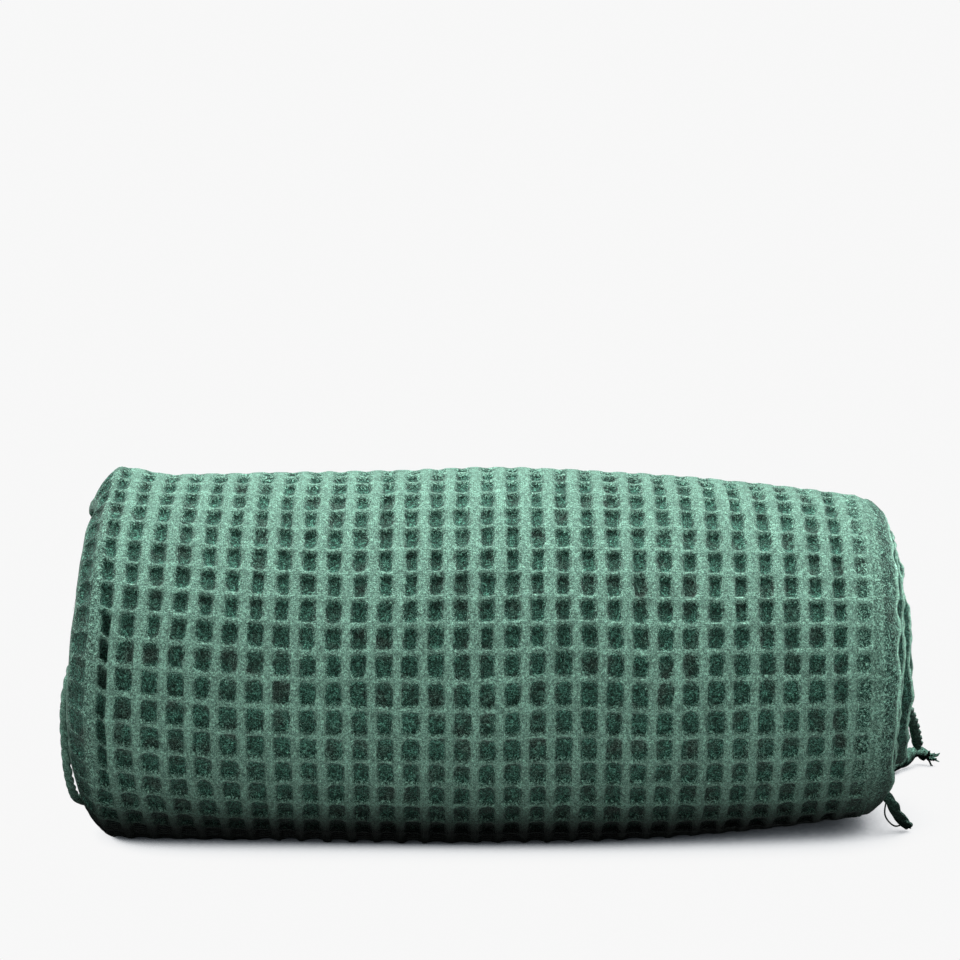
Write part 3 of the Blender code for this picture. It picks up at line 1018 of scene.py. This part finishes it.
def cotton(name, rib_colour, pit_colour, sheen=0.20, weave=True):
    """Soft brushed cotton with yarns, fuzz and a fine speckle; on the weave it is darker in the pits, partly
    with painted shade, has painted shade near the floor and painted highlights along edges.
    """
    finish = Finish(name)
    shader = finish.shader
    shader.inputs["Roughness"].default_value = 0.95
    shader.inputs["Specular IOR Level"].default_value = 0.1
    shader.inputs["Sheen Weight"].default_value = sheen
    shader.inputs["Sheen Roughness"].default_value = 0.4
    shader.inputs["Sheen Tint"].default_value = SHEEN_COLOUR
    fuzz = finish.noise(1350, detail=3, distortion=1.2, roughness=0.62)
    curls = finish.lines(finish.noise(480, detail=1, distortion=1.6), width=0.075)
    fine_curls = finish.lines(finish.noise(860, detail=1, distortion=1.4), width=0.11)
    mottle = finish.noise(170, detail=2)
    cloud = finish.noise(24, detail=1)
    if weave:
        pit = add(finish.tree, "ShaderNodeAttribute", attribute_name="pit").outputs["Fac"]
        ragged = finish.plus(pit, finish.ramp(curls, 0.0, 1.0, RAGGED_COLOUR, -RAGGED_COLOUR))
        # how far towards the pit colour: the pits' darker yarn with painted shade
        depth = finish.ramp(ragged, 0.10, 0.74, 0.0, 1.0)
        warm = finish.ramp(finish.noise(90, detail=2), 0.50, 0.72, 0.0, 0.6)
        colour = finish.mix(rib_colour, finish.mix(pit_colour, WARM_PIT, warm), depth)
        # painted highlight: where the pit value is below 0, the colour gets paler
        colour = finish.times(colour, finish.ramp(pit, -1.6, -0.2, 2.3, 1.0))
        # painted shade: the weave's colour darkens near the floor, by its height
        height = add(finish.tree, "ShaderNodeSeparateXYZ")
        finish.link(finish.where, height.inputs[0])
        colour = finish.times(colour, finish.ramp(height.outputs["Z"], *PAINTED_CONTACT_SHADE))
    else:
        depth = finish.ramp(mottle, 0.35, 0.75, 0.0, 0.6)
        colour = finish.mix(rib_colour, pit_colour, depth)
    for texture, low, high, on_rib, in_pit in (
        (fuzz, 0.36, 0.66, (0.56, 1.42), (0.38, 1.85)),
        (curls, 0.0, 1.0, (0.80, 1.40), (0.60, 2.5)),
        (fine_curls, 0.0, 1.0, (0.76, 1.38), (0.55, 2.1)),
    ):
        weak = finish.ramp(texture, low, high, *on_rib)
        strong = finish.ramp(texture, low, high, *in_pit)
        colour = finish.times(colour, finish.blend(weak, strong, depth))
    colour = finish.times(colour, finish.ramp(mottle, 0.3, 0.7, 0.90, 1.09))
    colour = finish.times(colour, finish.ramp(cloud, 0.3, 0.7, 0.94, 1.06))
    finish.link(colour, shader.inputs["Base Color"])
    normal = finish.bump(fuzz, 0.0004, 0.8)
    normal = finish.bump(curls, 0.00012, 0.8, normal)
    if weave:
        uv = add(finish.tree, "ShaderNodeUVMap", uv_map="weave").outputs["UV"]
        for direction, count in (("X", YARNS_A_COLUMN), ("Y", YARNS_A_ROW)):
            wave = add(finish.tree, "ShaderNodeTexWave", wave_type="BANDS", bands_direction=direction)
            wave.inputs["Scale"].default_value = count * math.pi / 10
            wave.inputs["Distortion"].default_value = 3.5
            wave.inputs["Detail"].default_value = 2.0
            wave.inputs["Detail Scale"].default_value = 3.0
            finish.link(uv, wave.inputs["Vector"])
            normal = finish.bump(wave.outputs["Fac"], 0.00018, 0.6, normal)
    finish.link(normal, shader.inputs["Normal"])
    return finish.material


def finish_piece(obj, material, slot, *replaced):
    """Gives a piece its material and its body, and hides the solids it stands for; slot is not used."""
    obj.data.materials.clear()
    obj.data.materials.append(material)
    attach(obj, "root")
    if replaced:
        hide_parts(*replaced)


# The floor, the light and the camera.


def glowing(name, colour, shadow=False):
    """A material that shows one even pale colour, with a short soft painted shadow where something touches it.
    """
    material = bpy.data.materials.new(name)
    material.use_nodes = True
    tree = material.node_tree
    tree.nodes.clear()
    glow = add(tree, "ShaderNodeEmission")
    glow.inputs["Color"].default_value = colour
    out = add(tree, "ShaderNodeOutputMaterial")
    tree.links.new(glow.outputs["Emission"], out.inputs["Surface"])
    if shadow:
        shade = add(tree, "ShaderNodeAmbientOcclusion", samples=24)
        shade.inputs["Distance"].default_value = SHADE_REACH
        towards = add(tree, "ShaderNodeCombineXYZ")
        for axis, part in zip("XYZ", SHADE_TOWARDS):
            towards.inputs[axis].default_value = part
        tree.links.new(towards.outputs["Vector"], shade.inputs["Normal"])
        ramp = add(tree, "ShaderNodeValToRGB")
        elements = ramp.color_ramp.elements
        elements[0].position, elements[0].color = SHADOW_STOPS[0]
        elements[1].position, elements[1].color = SHADOW_STOPS[-1]
        for position, shadow_colour in SHADOW_STOPS[1:-1]:
            elements.new(position).color = shadow_colour
        tree.links.new(shade.outputs["AO"], ramp.inputs["Fac"])
        tree.links.new(ramp.outputs["Color"], glow.inputs["Color"])
    return material


def build_stage():
    """A round white floor that sweeps up, which only the camera sees, and the light that it throws back."""
    bm = bmesh.new()
    bmesh.ops.create_circle(bm, segments=96, radius=SWEEP_FLOOR, cap_ends=True)
    rim = list(bm.edges)
    for k in range(1, SWEEP_PARTS + 1):
        turned = math.pi / 2 * k / SWEEP_PARTS
        radius = SWEEP_FLOOR + SWEEP_ROUND * math.sin(turned)
        made = bmesh.ops.extrude_edge_only(bm, edges=rim)["geom"]
        verts = [item for item in made if isinstance(item, bmesh.types.BMVert)]
        rim = [item for item in made if isinstance(item, bmesh.types.BMEdge)]
        for vertex in verts:
            flat = Vector((vertex.co.x, vertex.co.y, 0)).normalized() * radius
            vertex.co = (flat.x, flat.y, SWEEP_ROUND * (1 - math.cos(turned)))
    made = bmesh.ops.extrude_edge_only(bm, edges=rim)["geom"]
    for item in made:
        if isinstance(item, bmesh.types.BMVert):
            item.co.z += SWEEP_WALL
    sweep = mesh_object("sweep", bm)
    sweep.location.z = -0.0002
    sweep.data.materials.append(glowing("white_sweep", WHITE, shadow=True))
    for ray in ("diffuse", "glossy", "transmission", "volume_scatter", "shadow"):
        setattr(sweep, "visible_" + ray, False)
    bm = bmesh.new()
    front = (-BOUNCE_DEEP, BOUNCE_DEEP, BOUNCE_FROM - BOUNCE_DEEP, BOUNCE_FROM)
    for left, right, near, far in (front, (BOUNCE_RIGHT, BOUNCE_DEEP, BOUNCE_FROM, BOUNCE_BACK)):
        corners = ((left, near), (right, near), (right, far), (left, far))
        bm.faces.new([bm.verts.new((x, y, -0.001)) for x, y in corners])
    bounce = mesh_object("floor_bounce", bm)
    bounce.data.materials.append(glowing("bounced_light", BOUNCE_COLOUR))
    bounce.visible_camera = False
    bounce.visible_shadow = False


def build_softbox():
    """A wide soft box overhead."""
    light = bpy.data.lights.new("overhead_softbox", "AREA")
    light.shape = "RECTANGLE"
    light.size, light.size_y = SOFTBOX_SIZE
    light.energy = SOFTBOX_POWER
    softbox = bpy.data.objects.new("overhead_softbox", light)
    softbox.location = SOFTBOX_PLACE
    softbox.visible_camera = False
    bpy.context.scene.collection.objects.link(softbox)


def build_sky():
    """A faint sky that is dark below the horizon."""
    world = bpy.data.worlds.new("studio")
    world.use_nodes = True
    tree = world.node_tree
    tree.nodes.clear()
    where = add(tree, "ShaderNodeTexCoord")
    split = add(tree, "ShaderNodeSeparateXYZ")
    above = add(tree, "ShaderNodeMapRange")
    above.inputs["From Min"].default_value = SKY_FROM
    above.inputs["From Max"].default_value = SKY_FULL
    sky = add(tree, "ShaderNodeBackground")
    sky.inputs["Strength"].default_value = SKY_STRENGTH
    out = add(tree, "ShaderNodeOutputWorld")
    tree.links.new(where.outputs["Generated"], split.inputs["Vector"])
    tree.links.new(split.outputs["Z"], above.inputs["Value"])
    tree.links.new(above.outputs["Result"], sky.inputs["Color"])
    tree.links.new(sky.outputs["Background"], out.inputs["Surface"])
    bpy.context.scene.world = world
    bpy.context.scene.view_settings.view_transform = "Standard"


def build_camera():
    """The photograph's view: from in front, a little above, through a long lens."""
    camera = bpy.data.cameras.new("camera")
    camera.lens = LENS
    camera.sensor_width = SENSOR
    obj = bpy.data.objects.new("camera", camera)
    obj.location = CAMERA_PLACE
    obj.rotation_euler = (math.radians(CAMERA_TILT), 0, 0)
    bpy.context.scene.collection.objects.link(obj)
    bpy.context.scene.camera = obj


def build_outer_turn(green):
    """The outer turn, from the cloth on the floor to behind the top."""
    rows = stops(FIRST_ROW, SHOWN_ROW, FLOOR_ROW_STOPS)[:-1] + stops(SHOWN_ROW, LAST_ROW, ROW_STOPS)
    columns = stops(FIRST_COLUMN, STITCH_COLUMN, COLUMN_STOPS)[:-1] + HEM_STOPS
    outer = woven_sheet("outer_turn", columns, rows, outer_point)
    finish_piece(outer, green, "green_cotton", "rolled_blanket")


def build_inner_folds(green):
    """The folds of the inner turns at the left end."""
    fold_columns = stops(FIRST_COLUMN, 0.6, INNER_FOLD_STOPS)
    fold_steps = even(STEPS + 0.3, CORE_STEP, 5 * (CORE_STEP - STEPS))
    folds = woven_sheet("left_folds", fold_columns, fold_steps, inner_fold_point, (1.0, STEPS_A_ROW))
    finish_piece(folds, green, "green_cotton")


def build_right_edges(green):
    """The hems and the fold that show at the right end, in to the core."""
    for name, low, high, back, first in EDGES:
        steps = even(first, CORE_STEP, 4 * (CORE_STEP - round(first)))
        stretch = (high - low) / 2 * LAYER_THICK / ROUND_HALF
        arcs = [arc * stretch if abs(arc) < ROUND_ARC else arc for arc in EDGE_ARCS]
        edge = woven_sheet(name, arcs, steps, edge_of(low, high, back), (0.01, STEPS_A_ROW))
        finish_piece(edge, green, "green_cotton")


def build_free_end(green):
    """The weave on top of the free end, and its four layers' edges, where the fringe begins."""
    top_columns = stops(-0.4, STITCH_COLUMN, FREE_END_STOPS)
    top_steps = even(-FLAP_STEPS + 0.25, 2.0, 40)
    top_cell = (1.0, STEPS_A_ROW)
    top = woven_sheet("free_end_top", top_columns, top_steps, free_end_point, top_cell, turn_over=True)
    finish_piece(top, green, "green_cotton")
    edge_columns = stops(-0.5, 31.9, END_EDGE_STOPS)
    edge_cell = (1.0, 0.0115)
    for layer in range(LAYERS):
        name = f"free_end_edge_{layer + 1}"
        edge = woven_sheet(name, edge_columns, EDGE_ARCS[1:], end_edge_of(layer), edge_cell, turn_over=True)
        finish_piece(edge, green, "green_cotton")


def build_cloth():
    """The rolled cloth: its outer turn, what shows of its inner turns at both ends, and its free end."""
    green = cotton("brushed_green_cotton", RIB_GREEN, PIT_GREEN)
    build_outer_turn(green)
    build_inner_folds(green)
    build_right_edges(green)
    build_free_end(green)


def build_strands():
    """The fringe, the strands that hang at the two ends, and the stitches and fibres on the outer turn."""
    yarn = cotton("twisted_green_yarn", YARN_GREEN, PIT_GREEN, 0.25, weave=False)
    # painted shade: a darker copy of the yarn for the lower fringe, the right strand and the drum
    shaded_yarn = cotton("twisted_yarn_in_painted_shade", SHADED_YARN_GREEN, PIT_GREEN, 0.12, weave=False)
    lower = build_fringe_row("lower_fringe_strands", (0, 2), 0.0, 0.0, CORNER_LOW, 3)
    finish_piece(lower, shaded_yarn, "dark_green_cotton", "lower_fringe")
    upper = build_fringe_row("upper_fringe_strands", (2, 4), UPPER_LEVEL, 2.0, CORNER_ARCH, 4)
    finish_piece(upper, yarn, "green_cotton", "upper_fringe")
    finish_piece(build_inner_turns(), shaded_yarn, "green_cotton")
    finish_piece(build_left_strand(), yarn, "green_cotton", "left_strand")
    finish_piece(build_right_strand(), shaded_yarn, "dark_green_cotton", "right_strand")
    finish_piece(build_stitches(), yarn, "green_cotton")
    finish_piece(build_fibres(), yarn, "green_cotton")


build_camera()
build_stage()
build_softbox()
build_sky()
build_cloth()
build_strands()
